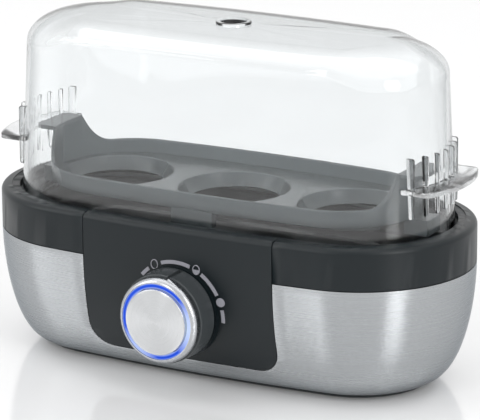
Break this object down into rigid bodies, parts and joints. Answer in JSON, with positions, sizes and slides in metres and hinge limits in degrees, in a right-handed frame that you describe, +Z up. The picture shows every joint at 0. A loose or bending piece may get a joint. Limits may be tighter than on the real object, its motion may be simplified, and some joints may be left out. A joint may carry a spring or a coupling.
{
  "type": "electric egg boiler",
  "caption": "Oval household egg boiler: steel-skirted base with heating dish, lit rotary timer knob, lift-out egg tray and clear lid with finger grips.",
  "frame": {"origin": "on the table, under the middle of the object's bounding box with the knob counted", "axes": "+X along the long side to the right seen from the front, +Y to the back, +Z up; the knob faces -Y"},
  "size_m": [0.19, 0.1046, 0.1292],
  "materials": {
    "skirt_steel": "fine horizontal brushing",
    "black_plastic": "semi-gloss black",
    "smoked_plastic": "smoked translucent",
    "clear_plastic": "clear, glossy",
    "dish_coating": "dark non-stick coating",
    "seal_silicone": "matt silicone",
    "zinc_steel": "zinc plated",
    "terminal_brass": "plain",
    "cap_aluminium": "circular brushing",
    "rim_chrome": "satin chrome",
    "light_blue": "blue translucent, lit",
    "frosted_plastic": "frosted",
    "rubber": "matt",
    "board_laminate": "solder resist",
    "component_black": "moulded",
    "component_blue": "moulded",
    "ivory_plastic": "moulded",
    "wire_red": "insulated",
    "wire_blue": "insulated"
  },
  "bodies": {
    "base": {"steel_skirt": "skirt_steel", "collar": "black_plastic", "ledge_ring": "black_plastic", "control_panel": "black_plastic", "base_plate": "black_plastic", "cord_grommet": "rubber", "heating_dish": "dish_coating", "dish_seal": "seal_silicone", "heating_element": "zinc_steel", "element_pin_left": "terminal_brass", "element_pin_right": "terminal_brass", "thermostat": "ivory_plastic", "thermostat_clip": "zinc_steel", "clip_nut_left": "zinc_steel", "clip_nut_right": "zinc_steel", "thermal_fuse": "ivory_plastic", "control_board": "board_laminate", "board_screw_left": "zinc_steel", "board_screw_right": "zinc_steel", "rotary_switch": "component_black", "led_left": "frosted_plastic", "led_right": "frosted_plastic", "relay": "component_blue", "capacitor": "component_blue", "buzzer": "component_black", "light_guide": "frosted_plastic", "terminal_block": "ivory_plastic", "wire_element_left": "wire_red", "wire_element_right": "wire_blue", "wire_board": "wire_red", "foot_front_left": "rubber", "foot_front_right": "rubber", "foot_back_left": "rubber", "foot_back_right": "rubber", "base_screw_front_left": "zinc_steel", "base_screw_front_right": "zinc_steel", "base_screw_back_left": "zinc_steel", "base_screw_back_right": "zinc_steel", "dish_clamp_left": "zinc_steel", "dish_clamp_right": "zinc_steel", "dish_clamp_back": "zinc_steel", "dish_clamp_front": "zinc_steel", "clamp_screw_left": "zinc_steel", "clamp_screw_right": "zinc_steel", "clamp_screw_back": "zinc_steel", "clamp_screw_front": "zinc_steel"},
    "knob": {"knob_drum": "black_plastic", "knob_rim": "rim_chrome", "light_ring": "light_blue", "knob_cap": "cap_aluminium", "knob_shaft": "zinc_steel"},
    "tray": {"egg_tray": "smoked_plastic"},
    "lid": {"lid": "clear_plastic"}
  },
  "joints": [
    {"name": "knob_turn", "type": "hinge", "parent": "base", "child": "knob", "pos_m": [0, -0.0386, 0.0299], "axis": [0, -1, 0], "range_deg": [-87, 59]},
    {"name": "tray_lift", "type": "slide", "parent": "base", "child": "tray", "axis": [0, 0, 1], "range_m": [0, 0.028]},
    {"name": "lid_lift", "type": "slide", "parent": "base", "child": "lid", "axis": [0, 0, 1], "range_m": [0, 0.1]}
  ]
}
